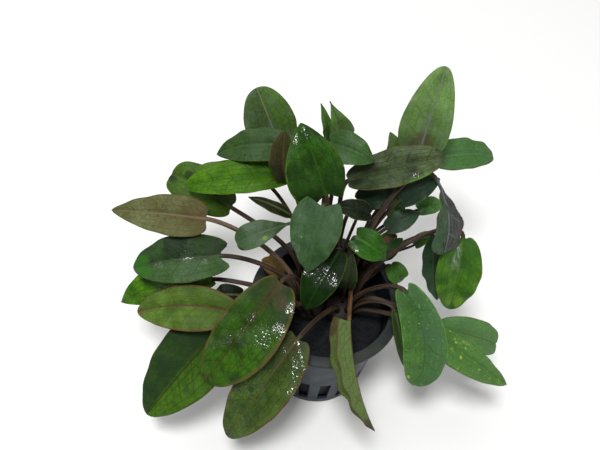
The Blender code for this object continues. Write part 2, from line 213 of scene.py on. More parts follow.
LEAVES = dict(
    back_1=leaf("back_left", "outer", 115, (-27, 40, 80), (-38, 45, 106), 19, "dark", widest=0.5, full=0.5,
                point=0.4, skew=-0.05),
    back_2=leaf("back_left", "inner", 120, (-22, 28, 99), (-48, 28, 86.5), 12.5, "dark", side=1, full=0.5,
                skew=-0.05, reach=0.12),
    back_3=leaf("back_left", "inner", 265, (-21, 20, 89), (-24, 25, 109.5), 10, "olive", turn=-20, cup=20,
                lobe=0, widest=0.5, point=0.4, rise=0.8),
    centre_tall=leaf("back_left", "inner", 50, (-7, 15, 93), (-19.5, 27, 113), 20.5, "green", cup=8, lobe=4,
                     widest=0.34, full=0.5, point=0.75, skew=-0.16),
    centre_front=leaf("back_left", "inner", 345, (-7, 9, 94), (-8, -5, 73.5), 18, "grey", lobe=3,
                      widest=0.25, full=0.6, point=0.8, skew=0.08, reach=0.1),
    left_small=leaf("front_left", "outer", 110, (-17, 8, 82), (-34, -2, 78), 9.5, "grey", lobe=0, widest=0.7,
                    point=0.3, skew=0.05),
    left_long=leaf("back_left", "inner", 185, (-21, 25, 87), (-56, 15.5, 82), 12.5, "bright", widest=0.45,
                   full=0.5, point=0.4, reach=0.1),
    left_under=leaf("front_left", "outer", 166, (-47, 7, 76), (-80, 3, 76), 15.5, "olive", bow=2, lobe=1,
                    widest=0.3, full=0.6, skew=-0.05),
    left_back=leaf("back_left", "outer", 195, (-41, 19, 69), (-64, 24, 75), 17, "green", widest=0.5,
                   full=0.5, point=0.25),
    left_far=leaf("back_left", "outer", 142, (-33, 28, 77), (-56, 25, 79), 9, "green"),
    left_sliver=leaf("back_left", "outer", 168, (-19, 16, 76), (-34, 17, 80), 4.5, "dark", skew=-0.2),
    left_dark=leaf("front_left", "outer", 192, (-40, -2, 68), (-70, -9, 60), 18, "dark", bow=4, lobe=4,
                   full=0.5, point=0.6, rise=0.6),
    left_low=leaf("front_left", "outer", 219, (-42, -5, 56), (-74, -15, 44), 15.5, "bright", widest=0.42,
                  full=0.5, point=0.75, skew=0.35, rise=0.35, reach=0.1),
    left_young=leaf("front_left", "outer", 246, (-31, -8, 54), (-41, -9, 51), 8, "dark", rise=0.3),
    left_front=leaf("front_left", "outer", 302, (-31, -18.5, 59.5), (-65.5, -21.5, 51.5), 17, "bright",
                    side=2, widest=0.42, full=0.6, point=0.6, skew=-0.12),
    front_far_left=leaf("front_left", "outer", 274, (-33, -17.5, 52), (-56, -48.5, 26), 26, "green",
                        full=0.55, point=0.6),
    front_wide=leaf("front_left", "inner", 190, (-16.5, -11, 73), (-35.5, -40.5, 47), 23, "green", bow=4,
                    widest=0.45, full=0.5, point=0.5, skew=-0.2),
    front_wet=leaf("front_right", "inner", 240, (-7, -24, 60), (-25.5, -50.5, 26), 20.3, "green", bow=4,
                   full=0.6, point=0.55, skew=-0.05, rise=0.3),
    front_folded=leaf("back_right", "outer", 293, (9, -17, 67), (26, -40.5, 33.5), 16, "olive", turn=70,
                      cup=70, side=-1.5, lobe=3, widest=0.25, full=0.4, point=0.65, rise=0.35, reach=0.08),
    centre_dark=leaf("back_left", "outer", 340, (1, 4, 75.7), (-6.5, -12, 59.7), 13.5, "dark", skew=0.1,
                     reach=0.15),
    centre_shaded=leaf("front_right", "inner", 90, (6, -1, 62), (6, 4, 77), 7, "dark", reach=0.15),
    right_1=leaf("front_right", "inner", 330, (27.5, -2, 67.5), (37.8, -22, 38.5), 16.5, "green", bow=4,
                 side=-4, lobe=5, widest=0.55, full=0.4, point=0.45),
    right_2=leaf("front_right", "outer", 338, (35, -7, 57), (72, -12, 34), 12, "green", skew=0.25, rise=0.3,
                 reach=0.1),
    right_3=leaf("front_right", "outer", 6, (43, -1, 47), (66, 2.5, 37), 13.5, "grey", cup=20, widest=0.5,
                 full=0.5, point=0.25, rise=0.7),
    right_behind=leaf("front_right", "outer", 311, (25, -6, 60), (33, -15, 38), 5, "green", rise=0.7),
    right_hanging=leaf("back_right", "outer", 340, (35, 24, 66), (42, 16, 38), 9, "dark", turn=40, bow=2,
                       rise=0.6),
    right_bright=leaf("front_right", "outer", 34, (44, 21, 74), (46, 8, 46.5), 17, "bright", full=0.75,
                      point=0.6, rise=0.8),
    right_grey=leaf("back_right", "inner", 308, (30, 29, 94), (38, 15, 72), 15.5, "grey", turn=-50, twist=30,
                    lobe=0, widest=0.68, full=0.7, point=0.4, skew=0.2, rise=0.8),
    back_tallest=leaf("back_right", "inner", 164, (22, 37, 96), (24.8, 56, 122), 18, "green", bow=2,
                      widest=0.33, point=0.5, skew=-0.08, reach=0.3),
    back_right=leaf("back_right", "inner", 92, (30, 47, 85), (51, 58, 79), 12.5, "green", widest=0.3,
                    full=0.5, point=0.4),
    back_long=leaf("back_right", "outer", 199, (0, 24, 91.5), (30, 32, 104), 14, "grey", bow=1, widest=0.5,
                   full=0.5, point=0.4, reach=0.12),
    back_glossy=leaf("back_left", "outer", 34, (-9, 30, 102), (7, 26, 101.5), 12, "green", bow=2,
                     reach=0.12),
    back_point_1=leaf("back_left", "outer", 88, (-10, 46, 84), (-15, 47, 102), 4.5, "green"),
    back_point_2=leaf("back_left", "outer", 61, (-6, 48, 84), (-12, 47, 104), 10, "green", widest=0.3,
                      point=1.2),
    back_tip=leaf("back_right", "outer", 145, (14, 46, 84), (11, 47, 94), 7, "green"),
    inner_1=leaf("back_right", "outer", 172, (5, 24, 80.5), (17.5, 28, 84.5), 10, "dark", bow=2, point=0.5),
    inner_2=leaf("back_right", "inner", 40, (19, 24, 85.7), (31, 32, 91.7), 9, "dark", rise=0.65,
                 reach=0.15),
    inner_3=leaf("back_right", "outer", 118, (19, 32, 64), (19, 38, 73), 7, "green", rise=0.65),
    inner_4=leaf("back_right", "outer", 10, (17, 20.5, 73), (27, 26.5, 77), 8, "grey", bow=2, rise=0.95),
    inner_5=leaf("back_right", "outer", 91, (28, 38, 64), (37, 41, 66), 7, "green"),
    inner_6=leaf("back_right", "inner", 236, (9, 16, 85), (-4, 14, 88), 7.5, "olive", reach=0.1),
    inner_7=leaf("front_right", "outer", 62, (21, 15, 57), (26, 12, 52), 8, "green", lobe=1, rise=0.2,
                 reach=0.15),
    inner_8=leaf("back_right", "outer", 37, (29, 26, 58), (34, 30, 62), 5, "green"),
    inner_bright=leaf("front_right", "outer", 100, (6, 8, 81), (18, 6, 74), 11, "bright", widest=0.3,
                      full=0.6, point=1, reach=0.08),
    inner_notched=leaf("back_right", "outer", 64, (20, 19, 69), (15, 13, 62), 9.5, "green", lobe=3,
                       rise=0.9),
    yellow=leaf("front_left", "outer", 138, (-18, 7, 50.5), (-26.5, 9, 53.5), 8, "yellow"))


def look(light, dark, vein="1E3010", midrib="465230", margin="46581E", under="586040", stalk="46362C",
         mottle=0.6, veins=0.6, net=0.4, wet=(), rough=0.5, film=0.0, gloss=0.18, left=None, right=None,
         base=None, border=0.3, spots=(), flecks=None, wave=0.6, crumple=0.25, tooth=0.0):
    """How one leaf looks, with its colours as sRGB hex.

    light, dark: the tissue, mixed in clouds by mottle.   vein, midrib, margin: lines and edge.
    under, stalk: the underside and the stalk.   base: a tint at the blade's base and along its midrib.
    veins, net: strength of the veins and of the fine net between them.
    wet: wet patches as share across, share along and radius in millimetres.
    rough, gloss: roughness of the skin and how strongly it reflects.
    film: strength of the painted grey sheen on it.   border: width of the coloured margin in millimetres.
    left, right: colour of one half, seen from above with the tip up, where the halves differ.
    spots: spots as share across, share along, radius in millimetres and colour.
    flecks: colour of the small marks that lie scattered on the blade.
    wave, crumple, tooth: how far the margin waves, the blade buckles and the margin is toothed, in mm.
    """
    return SimpleNamespace(**locals())


LOOKS = dict(
    back_1=look("425C20", "263E12", midrib="6C705C", left="3C5428", right="46681E", film=0.15),
    back_2=look("36541F", "203A12", midrib="3E5030", film=0.07,
                spots=((0.65, 0.84, 0.5, "141C0C"), (-0.6, 0.54, 0.6, "141C0C")), flecks="26381A"),
    back_3=look("3C3C1A", "22220C", vein="1E1A10", midrib="4A3A2A", margin="54482C", under="46402A"),
    centre_tall=look("2E5810", "142C06", vein="102406", midrib="28460F", margin="4A681C", mottle=1.0,
                     wet=((0.0, 0.88, 2.4), (-0.7, 0.84, 1.8)), gloss=0.12),
    centre_front=look("3C5C32", "1C3E12", vein="203A18", midrib="36522C", film=0.1, mottle=0.9,
                      wet=((0.85, 0.6, 2.5), (0.6, 0.42, 1.5)), net=0.5),
    left_small=look("3C5432", "2A4224", midrib="44583A", film=0.16,
                    spots=((-0.6, 0.52, 1.1, "668232"), (-0.9, 0.96, 1.2, "1A2012"))),
    left_long=look("4E7A10", "2A4E06", vein="1E420C", midrib="2C5014", margin="5A761A", mottle=0.8,
                   veins=0.8, net=0.35, gloss=0.12, spots=((-0.45, 0.18, 0.8, "4A2C14"),)),
    left_under=look("626840", "4E4A28", vein="444426", midrib="685A42", margin="5C4626", veins=0.8, net=0.5,
                    rough=0.6, stalk="705A48", base="54402A", mottle=1.0, flecks="3E3A20"),
    left_back=look("46681C", "2A420C", vein="26380C", margin="465018",
                   spots=((-0.25, 0.96, 2.6, "1C2C14"), (0.3, 0.74, 2.2, "1C2C14"))),
    left_far=look("567A2A", "365218"),
    left_sliver=look("22240C", "121404", stalk="3A2C22"),
    # The paler left half is painted grey-green sheen
    left_dark=look("2A4A14", "122408", vein="1A2A10", midrib="3C4430", left="3E5C30", film=0.06,
                   wet=((0.05, 0.34, 2.4), (-0.25, 0.16, 1.6), (-0.1, 0.66, 2.0)), net=0.4, mottle=0.9,
                   spots=((0.45, 0.45, 5.0, "14260C"), (0.3, 0.9, 5.0, "2C6212"),
                          (-0.5, 0.85, 4.0, "2C6212"))),
    left_low=look("4C7C0C", "1C3E06", vein="16380A", veins=0.8, mottle=1.0,
                  wet=((0.15, 0.5, 2.8), (0.2, 0.36, 2.4), (0.35, 0.2, 2.0))),
    left_young=look("141A10", "0A0E08", stalk="2C2218"),
    left_front=look("58762C", "384F14", vein="3A461E", midrib="52302A", margin="62402E", veins=0.7, net=0.35,
                    border=0.8, mottle=0.9, gloss=0.14, spots=((-0.2, 0.97, 2.6, "6A4638"),)),
    # The dark right half and the dark spot at the base are painted shadow from the leaves that lie over this
    # one
    front_far_left=look("426616", "28420E", vein="1C300E", midrib="2E2816", right="1A2E1A", margin="4A4420",
                        veins=0.7, net=0.25, gloss=0.12, base="243218", mottle=0.9,
                        spots=((-0.5, 0.6, 1.3, "2A4A2A"), (0.1, 0.1, 4.0, "202E18"))),
    front_wide=look("365E0E", "182A08", vein="1C2E0C", midrib="3C3418", margin="5A4A28", veins=0.7, net=0.4,
                    base="403824", border=1.2, mottle=1.0, gloss=0.12,
                    wet=((0.7, 0.7, 3.0), (0.35, 0.6, 3.6), (-0.1, 0.5, 3.8), (-0.45, 0.4, 3.8),
                         (-0.8, 0.3, 2.6), (-0.9, 0.14, 2.2), (0.1, 0.34, 2.4)),
                    spots=((-0.5, 0.12, 3.0, "3A3220"), (0.4, 0.97, 2.0, "4A3A1E"))),
    front_wet=look("4A6420", "2A3C14", vein="22300F", midrib="4C4E2C", margin="523C22", veins=0.8, net=0.45,
                   base="40381E", border=1.1, film=0.05, mottle=1.0, gloss=0.12,
                   wet=((-0.2, 0.04, 2.2), (-0.45, 0.1, 2.6), (-0.7, 0.18, 3.0), (-0.85, 0.26, 2.6),
                        (-0.9, 0.34, 2.0), (0.2, 0.12, 1.8)),
                   spots=((0.2, 0.95, 3.0, "46402A"), (0.3, 0.5, 1.6, "26361A")), flecks="2E3418"),
    front_folded=look("587434", "425626", vein="4A3A24", midrib="6E4E30", margin="4A3224", under="58703A",
                      stalk="6A4A30", rough=0.6, veins=0.8, net=0.5, tooth=0.1, border=0.9, base="5A4A2E",
                      mottle=0.9,
                      spots=((-0.5, 1.0, 9.0, "40302A"), (0.4, 1.0, 7.0, "4A4028"),
                             (0.9, 0.06, 3.0, "3C2A1E")), flecks="4A4A26"),
    centre_dark=look("123004", "051202", vein="081A04", midrib="1A3812", net=0.3, mottle=0.9, gloss=0.12,
                     wet=((0.7, 0.4, 3.2), (0.2, 0.38, 3.8), (-0.35, 0.42, 3.6), (0.1, 0.52, 2.2))),
    centre_shaded=look("28301A", "181E0E", midrib="262E1A"),
    right_1=look("46742A", "2C4E1C", vein="284422", midrib="34522C", film=0.04, net=0.3, margin="5E8A3C",
                 left="3E6236", wet=((0.0, 0.3, 1.4),), mottle=0.9,
                 spots=((-0.3, 0.42, 4.0, "3E5E3A"), (0.8, 0.88, 1.0, "93A458")), flecks="5E8248"),
    right_2=look("547E36", "3E6426", vein="34562A", midrib="3E5E30", mottle=0.8, film=0.04,
                 spots=((-0.2, 0.22, 0.7, "8CA64A"), (-0.3, 0.32, 0.6, "8CA64A"),
                        (-0.35, 0.42, 0.5, "96AE56"), (0.3, 0.42, 0.6, "8CA64A"),
                        (-0.75, 0.96, 1.2, "2A3618")), flecks="7E9A44"),
    right_3=look("56803C", "3E6630", vein="3A5C34", film=0.08),
    right_behind=look("32481E", "223416"),
    right_hanging=look("305432", "1E3A24", film=0.08),
    right_bright=look("52801C", "285014", vein="26460F", midrib="3E5E1E", margin="5A761E", mottle=1.0,
                      wet=((0.2, 0.14, 3.0), (0.3, 0.26, 3.4), (-0.1, 0.34, 2.6)), crumple=0.4,
                      spots=((-0.5, 0.82, 3.2, "668C20"), (0.3, 0.86, 2.0, "5E881E"))),
    right_grey=look("304720", "1A2A15", vein="5E6864", midrib="626C74", left="342A2E", under="3E4634",
                    film=0.03, gloss=0.35, crumple=1.6, tooth=0.1, net=0.2, mottle=0.9, margin="3C3A2A",
                    spots=((0.75, 0.7, 5.0, "28492A"), (0.4, 0.12, 4.0, "3C3E24"))),
    back_tallest=look("62863C", "3A5224", vein="304226", midrib="62645E", margin="5E7430", veins=0.55,
                      net=0.3, film=0.15, base="44442A", spots=((0.0, 0.1, 7.0, "46462C"),),
                      flecks="4E6A30"),
    back_right=look("487038", "38602C", midrib="4A6C46", film=0.06, veins=0.4, net=0.3),
    back_long=look("485A2C", "1E2A14", vein="18200F", midrib="2C341A", margin="5C5230", film=0.06,
                   mottle=1.0, veins=0.9, net=0.5, gloss=0.2, crumple=0.5, border=0.4,
                   spots=((0.3, 0.05, 3.5, "18220F"), (-0.3, 0.25, 4.0, "242E18"),
                          (1.6, 0.72, 6.2, "4C861E")), wet=((0.7, 0.68, 1.5),), flecks="3A4A22"),
    back_glossy=look("365A20", "204010", vein="1E3612", midrib="2C4420", film=0.05, gloss=0.3),
    back_point_1=look("4E7A30", "34581C"),
    back_point_2=look("5C7E3C", "486A2E"),
    back_tip=look("4A6430", "3E5628"),
    inner_1=look("182C1C", "0C1C12", midrib="1A2A1C"),
    inner_2=look("24382A", "182A1C", midrib="24362A", film=0.05),
    inner_3=look("569A3A", "407C2A", midrib="3E702C"),
    inner_4=look("2E4430", "1C2C1A", midrib="2C3C2C", film=0.1),
    inner_5=look("66984E", "4C783C", midrib="4C703C"),
    inner_6=look("0C1409", "060A04", midrib="141A0E"),
    inner_7=look("3C681A", "284C10", midrib="2E4C18"),
    inner_8=look("406428", "2C4A1A", midrib="34502A"),
    inner_bright=look("2E680A", "163606", midrib="305612", mottle=1.0, wet=((0.8, 0.08, 2.0),)),
    inner_notched=look("1A3E12", "0F240A", midrib="1C3212", spots=((0.4, 0.2, 1.6, "4A3020"),)),
    yellow=look("967E3E", "6E5A2E", vein="5A4824", midrib="6A5030", margin="5A4826", under="8A763C"))


def bezier(points, t):
    """Point on a Bezier curve of any order."""
    row = [Vector(p) for p in points]
    while len(row) > 1:
        row = [a.lerp(b, t) for a, b in zip(row, row[1:])]
    return row[0]


def blade_axis(spec):
    """Control points of the blade's midrib and the way that its upper side faces."""
    base, tip = Vector(spec.base), Vector(spec.tip)
    along = (tip - base).normalized()
    face = (LIGHT - along * along.dot(LIGHT)).normalized()
    face = Matrix.Rotation(math.radians(spec.turn), 3, along) @ face
    right = along.cross(face)
    middle = (base + tip) / 2 + 2 * spec.bow * face + 2 * spec.side * right
    return (base, middle, tip), face


def stalk_axis(spec):
    """Control points of the stalk, from its crown to the blade, which it meets in line."""
    x, y = CROWNS[spec.crown]
    bearing = math.radians(spec.bearing)
    radius = RING_RADIUS[spec.ring]
    root = Vector((x + radius * math.cos(bearing), y + radius * math.sin(bearing), ROOT_HEIGHT))
    (base, middle, _), _ = blade_axis(spec)
    length = (base - root).length
    first = root + Vector((0, 0, spec.rise * length))
    last = base - (middle - base).normalized() * spec.reach * length
    return root, first, last, base


def stalk_share(spec):
    """Thickness of a leaf's stalk as a share of the thickest, less for small leaves."""
    return 0.3 + 0.7 * min(spec.width / FULL_STALK_WIDTH, 1)


def smooth(x):
    """0 below 0, 1 above 1 and an S-curve between."""
    x = np.clip(x, 0, 1)
    return x * x * (3 - 2 * x)


def outline(spec, t):
    """Share of its widest span that the blade has at share t of its length."""
    power = math.log(0.5) / math.log(spec.widest)
    bluntness = spec.full + (spec.point - spec.full) * t
    return max(math.sin(math.pi * t ** power), 0) ** bluntness


def ripples(x, y, wavelength, rng, count=5):
    """Soft bumps from -1 to 1: a few waves in random directions."""
    total = 0
    for _ in range(count):
        angle, phase = rng.uniform(0, 2 * math.pi, 2)
        stretch = rng.uniform(0.8, 1.3)
        total = total + np.sin(2 * math.pi * (x * math.cos(angle) + y * math.sin(angle))
                               / (wavelength * stretch) + phase)
    return total / count


def ring_points(spec):
    """Where the points of a ring lie, from -1 at the left margin to 1 at the right, and 1 for those on
    the upper side."""
    spaces = int(np.clip(spec.width / RING_SPACING, *POINT_LIMITS))
    # Two more points beside each margin keep its rounding narrow
    s = np.concatenate([[-1, -0.985], np.linspace(-0.94, 0.94, spaces - 3), [0.985, 1]])
    upper = np.concatenate([np.ones(spaces + 1), np.zeros(spaces - 1)])
    return np.concatenate([s, s[-2:0:-1]]), upper


def stalk_rings(spec, s, upper):
    """Rings round the stalk, from the crown to the blade, each as its points in millimetres, their place
    and their share. Place is millimetres from the midrib, millimetres along it from the blade's base,
    and 1 on the upper side. Share is the first two as shares of the blade."""
    controls = stalk_axis(spec)
    steps = [bezier(controls, i / 20) for i in range(21)]
    stalk_length = sum((b - a).length for a, b in zip(steps, steps[1:]))
    (base, middle, _), face = blade_axis(spec)
    rows = []
    # Made from the blade back to the crown, so that the rings meet the blade without a twist
    right = (middle - base).cross(face).normalized()
    for i in range(STALK_RINGS - 1, -1, -1):
        u = i / STALK_RINGS
        centre = bezier(controls, u)
        along = (bezier(controls, u + 0.01) - bezier(controls, max(u - 0.01, 0))).normalized()
        right = (right - along * along.dot(right)).normalized()
        normal = right.cross(along)
        radius = stalk_share(spec) * (STALK_RADIUS_LOW + (STALK_RADIUS_HIGH - STALK_RADIUS_LOW) * u)
        x = radius * np.sin(s * math.pi / 2)
        z = radius * np.cos(s * math.pi / 2) * np.where(upper > 0, UPPER_RADIUS, -1)
        z -= upper * CHANNEL_DEPTH * radius * np.exp(-(x / (CHANNEL_WIDTH * radius)) ** 2)
        points = np.array(centre) + np.outer(x, right) + np.outer(z, normal)
        place = np.stack([x, np.full_like(x, -(1 - u) * stalk_length), upper], 1)
        share = np.stack([x / radius, np.full_like(x, u - 1), x * 0], 1)
        rows.insert(0, (points, place, share))
    return rows


def blade_rings(spec, finish, rng, s, upper):
    """Rings round the blade, from the stalk to the tip, as those of the stalk."""
    (base, middle, tip), face = blade_axis(spec)
    blade_length = ((base - middle).length + (middle - tip).length + (tip - base).length) / 2
    count = int(np.clip(blade_length / RING_SPACING, *RING_LIMITS)) * (2 if finish.tooth else 1)
    margin_rng = np.random.default_rng(rng.integers(1 << 30))
    steps = 0.5 - 0.5 * np.cos(math.pi * np.linspace(0, 1, count + 1))
    margin_wave = ripples(steps * blade_length, 0 * steps, MARGIN_WAVE, margin_rng)
    left_phase, right_phase = rng.uniform(0, 2 * math.pi, 2)
    bump_seed = rng.integers(1 << 30)
    cup = math.radians(spec.cup)
    # The margin waves once in 14 mm, and 1.2 times more
    waves = 1.2 + blade_length / 14
    rows = []
    for t, uneven in zip(steps, margin_wave):
        centre = bezier((base, middle, tip), t)
        along = ((middle - base).lerp(tip - middle, t)).normalized()
        right = along.cross(face).normalized()
        right = Matrix.Rotation(math.radians(spec.twist * t), 3, along) @ right
        normal = right.cross(along)
        rib = stalk_share(spec) * STALK_RADIUS_HIGH
        rib += (MIDRIB_TIP_RADIUS - rib) * t ** 0.6
        wide = outline(spec, t)
        width = 0.5 * spec.width * wide * (1 + spec.skew * np.sign(s)) * (1 + MARGIN_UNEVEN * uneven)
        # Every second ring is cut back between two teeth
        width = np.maximum(width - finish.tooth * (len(rows) % 2 == 0), rib)
        # On the blade the points crowd towards the midrib; on the stalk they go evenly round it
        spread = smooth(t / ROUND_TO_FLAT)
        x = (1 - spread) * rib * np.sin(s * math.pi / 2) + spread * width * (0.55 * s + 0.45 * s ** 3)
        q = np.clip(np.abs(x) / width, 0, 1)
        sheet = BLADE_HALF_THICKNESS + (BLADE_TIP_HALF_THICKNESS - BLADE_HALF_THICKNESS) * t
        sheet = sheet * np.sqrt(np.clip(1 - q ** 6, 0, 1))
        under = (sheet ** 4 + np.sqrt(np.clip(rib ** 2 - x ** 2, 0, None)) ** 4) ** 0.25
        top_rib = rib * (1 - smooth(t / 0.12)) * UPPER_RADIUS
        over = (sheet ** 4 + np.sqrt(np.clip(top_rib ** 2 - x ** 2, 0, None)) ** 4) ** 0.25
        groove = (GROOVE_DEPTH + GROOVE_GAIN * smooth(t / 0.1)) * (1 - 0.7 * t)
        over -= groove * np.exp(-(x / GROOVE_WIDTH) ** 2)
        z = np.where(upper > 0, over, -under)
        # The sheet's own form: raised halves that swell between midrib and margin, a waving margin,
        # sunk side veins and buckles
        y = t * blade_length
        lift = (np.sqrt(x ** 2 + 0.3) - 0.55) * math.sin(cup)
        lift += SWELL * width * 4 * q * (1 - q) * smooth(t / 0.2)
        phase = np.where(x > 0, left_phase, right_phase)
        lift += finish.wave * q ** 2.5 * np.sin(2 * math.pi * waves * t + phase) * math.sin(math.pi * t)
        ribs = (y - VEIN_SLANT * np.abs(x)) / VEIN_PITCH
        from_vein = (ribs - np.round(ribs)) * VEIN_PITCH
        lift -= VEIN_DEPTH * finish.veins * np.exp(-(from_vein / VEIN_WIDTH) ** 2) \
            * smooth(q * 5) * smooth((1 - q) * 6) * spread
        bumps = ripples(x, np.full_like(x, y), BUCKLE_WAVE, np.random.default_rng(bump_seed))
        lift += finish.crumple * bumps * smooth(q * 3) * smooth(t / 0.15)
        back = spec.lobe * (x / width) ** 2 * 4 * wide * (1 - wide) * (t < spec.widest)
        points = np.array(centre) + np.outer(x * math.cos(cup), right) \
            + np.outer(lift + z, normal) - np.outer(back, along)
        place = np.stack([x, np.full_like(x, y), upper], 1)
        share = np.stack([x / width, np.full_like(x, t), x * 0], 1)
        rows.append((points, place, share))
    return rows


def make_mesh(name, points, faces, finish, **attributes):
    """Object from points in millimetres, with its material and any vectors that belong to its points."""
    mesh = bpy.data.meshes.new(name)
    mesh.from_pydata((np.asarray(points, float) * MM).tolist(), [], faces)
    for key, values in attributes.items():
        layer = mesh.attributes.new(key, "FLOAT_VECTOR", "POINT")
        layer.data.foreach_set("vector", np.asarray(values, np.float32).ravel())
    mesh.shade_smooth()
    mesh.materials.append(finish)
    result = bpy.data.objects.new(name, mesh)
    bpy.context.scene.collection.objects.link(result)
    return result


def ring_faces(rings, size, first=0):
    """Faces of a closed body of rings with as many points each, ends included."""
    faces = []
    for r in range(rings - 1):
        low = first + r * size
        for i in range(size):
            j = (i + 1) % size
            faces.append((low + i, low + size + i, low + size + j, low + j))
    faces.append(tuple(first + i for i in range(size)))
    faces.append(tuple(first + (rings - 1) * size + i for i in range(size - 1, -1, -1)))
    return faces


def linear(code):
    """Linear colour of an sRGB hex value."""
    channels = [int(code[i:i + 2], 16) / 255 for i in (0, 2, 4)]
    return tuple(c / 12.92 if c <= 0.04045 else ((c + 0.055) / 1.055) ** 2.4 for c in channels) + (1.0,)


# A kind of node: its type, its settings, the number of the output that is used, or None for the node
# itself, and the numbers of the inputs that its values go to
Kind = namedtuple("Kind", "node settings output inputs", defaults=({}, 0, range(5)))
BUMP = Kind("ShaderNodeBump")
CELL_EDGES = Kind("ShaderNodeTexVoronoi", {"feature": "DISTANCE_TO_EDGE"})
COMBINE = Kind("ShaderNodeCombineXYZ")
DIVIDED_BY = Kind("ShaderNodeMath", {"operation": "DIVIDE"})
LARGER = Kind("ShaderNodeMath", {"operation": "MAXIMUM"})
MIX = Kind("ShaderNodeMix", {"data_type": "RGBA"}, 2, (0, 6, 7))
NOISE = Kind("ShaderNodeTexNoise")
OBJECT_PLACE = Kind("ShaderNodeTexCoord", {}, 3)
OUTPUT = Kind("ShaderNodeOutputMaterial", {}, None)
PLACE = Kind("ShaderNodeAttribute", {"attribute_name": "place"}, 1)
PRINCIPLED = Kind("ShaderNodeBsdfPrincipled")
RANGE = Kind("ShaderNodeMapRange")
S_CURVE = Kind("ShaderNodeMapRange", {"interpolation_type": "SMOOTHSTEP"})
SEPARATE = Kind("ShaderNodeSeparateXYZ", {}, None)
SHARE = Kind("ShaderNodeAttribute", {"attribute_name": "share"}, 1)
SQUARE_ROOT = Kind("ShaderNodeMath", {"operation": "SQRT"})
TIMES = Kind("ShaderNodeMath", {"operation": "MULTIPLY"})
TIMES_PLUS = Kind("ShaderNodeMath", {"operation": "MULTIPLY_ADD"})
TO_AND_FRO = Kind("ShaderNodeMath", {"operation": "PINGPONG"})
VECTOR_LENGTH = Kind("ShaderNodeVectorMath", {"operation": "LENGTH"}, 1)
VECTOR_MINUS = Kind("ShaderNodeVectorMath", {"operation": "SUBTRACT"})
VECTOR_TIMES = Kind("ShaderNodeVectorMath", {"operation": "MULTIPLY"})
WITHOUT_SIGN = Kind("ShaderNodeMath", {"operation": "ABSOLUTE"})


def add_node(tree, kind, *values, **named):
    """Add a node of a kind, with its settings, its values and links, and others by the input's name. A
    colour is given as its sRGB hex value."""
    new = tree.nodes.new(kind.node)
    for key, value in kind.settings.items():
        setattr(new, key, value)
    for key, value in [*zip(kind.inputs, values), *named.items()]:
        if isinstance(value, bpy.types.NodeSocket):
            tree.links.new(value, new.inputs[key])
        else:
            new.inputs[key].default_value = linear(value) if isinstance(value, str) else value
    return new if kind.output is None else new.outputs[kind.output]


def make_material(name, skin, *facts):
    """Material with a shader whose inputs a function works out by nodes that it adds."""
    result = bpy.data.materials.new(name)
    result.use_nodes = True
    result.node_tree.nodes.clear()
    add = partial(add_node, result.node_tree)
    shader = add(PRINCIPLED, **skin(add, *facts))
    add(OUTPUT, Surface=shader)
    return result


def leaf_places(add, seed):
    """Sockets that say where a point lies on its leaf.

    y: millimetres along the midrib from the blade's base, below 0 on the stalk.
    across, along, share: shares of the blade's half width and length, alone and together.
    side_x, side_share: millimetres and share of the half width from the midrib, to either side.
    upper, on_blade: 1 on the upper side, and 1 on the blade.
    pattern, layer: the place that patterns are drawn at, and its height.
    wander, ragged: slow and fine unevenness.
    """
    place = add(PLACE)
    share = add(SHARE)
    x, y, upper = add(SEPARATE, place).outputs
    across, along, _ = add(SEPARATE, share).outputs
    layer = seed * LAYER
    pattern = add(COMBINE, x, y, layer)
    return SimpleNamespace(
        y=y, across=across, along=along, share=share, upper=upper, pattern=pattern, layer=layer,
        side_x=add(WITHOUT_SIGN, x),
        side_share=add(WITHOUT_SIGN, across),
        on_blade=add(S_CURVE, y, -0.5, 1.5, 0.0, 1.0),
        wander=add(NOISE, Vector=pattern, Scale=VEIN_BENDS, Detail=3.0),
        ragged=add(NOISE, Vector=pattern, Scale=RAGGED_EDGES, Detail=4.0))


def leaf_veins(add, finish, at):
    """Mask of the veins: side veins and long veins, and the fine net that joins them."""
    # Side veins leave the midrib every second VEIN_PITCH, lean towards the tip and fade outwards
    run = add(TIMES_PLUS, at.side_x, -VEIN_SLANT, at.y)
    run = add(TIMES_PLUS, at.wander, 3.0, run)
    side_vein = add(TO_AND_FRO, run, VEIN_PITCH)
    side_vein = add(S_CURVE, side_vein, 0.05, 0.5, 1.0, 0.0)
    outwards = add(S_CURVE, at.side_share, 0.5, 1.0, 1.0, 0.2)
    side_vein = add(TIMES, side_vein, outwards)
    # Long veins run from base to tip and follow the margin, four in each half
    run = add(TIMES_PLUS, at.wander, 0.16, at.side_share)
    long_vein = add(TO_AND_FRO, run, 0.13)
    long_vein = add(S_CURVE, long_vein, 0.004, 0.032, 0.9, 0.0)
    beside_rib = add(S_CURVE, at.side_share, 0.08, 0.2, 0.0, 1.0)
    long_vein = add(TIMES, long_vein, beside_rib)
    # The net has cells about 2 mm by 2.5 mm, which follow the long veins
    net_x = add(TIMES, at.across, NET_ACROSS)
    net_y = add(TIMES, at.y, NET_ALONG)
    net = add(COMBINE, net_x, net_y, at.layer)
    net = add(CELL_EDGES, Vector=net, Scale=1.0, Randomness=0.8)
    net = add(S_CURVE, net, 0.01, 0.11, finish.net, 0.0)
    veins = add(LARGER, side_vein, long_vein)
    veins = add(TIMES, veins, finish.veins)
    veins = add(LARGER, veins, net)
    return add(TIMES, veins, at.on_blade)


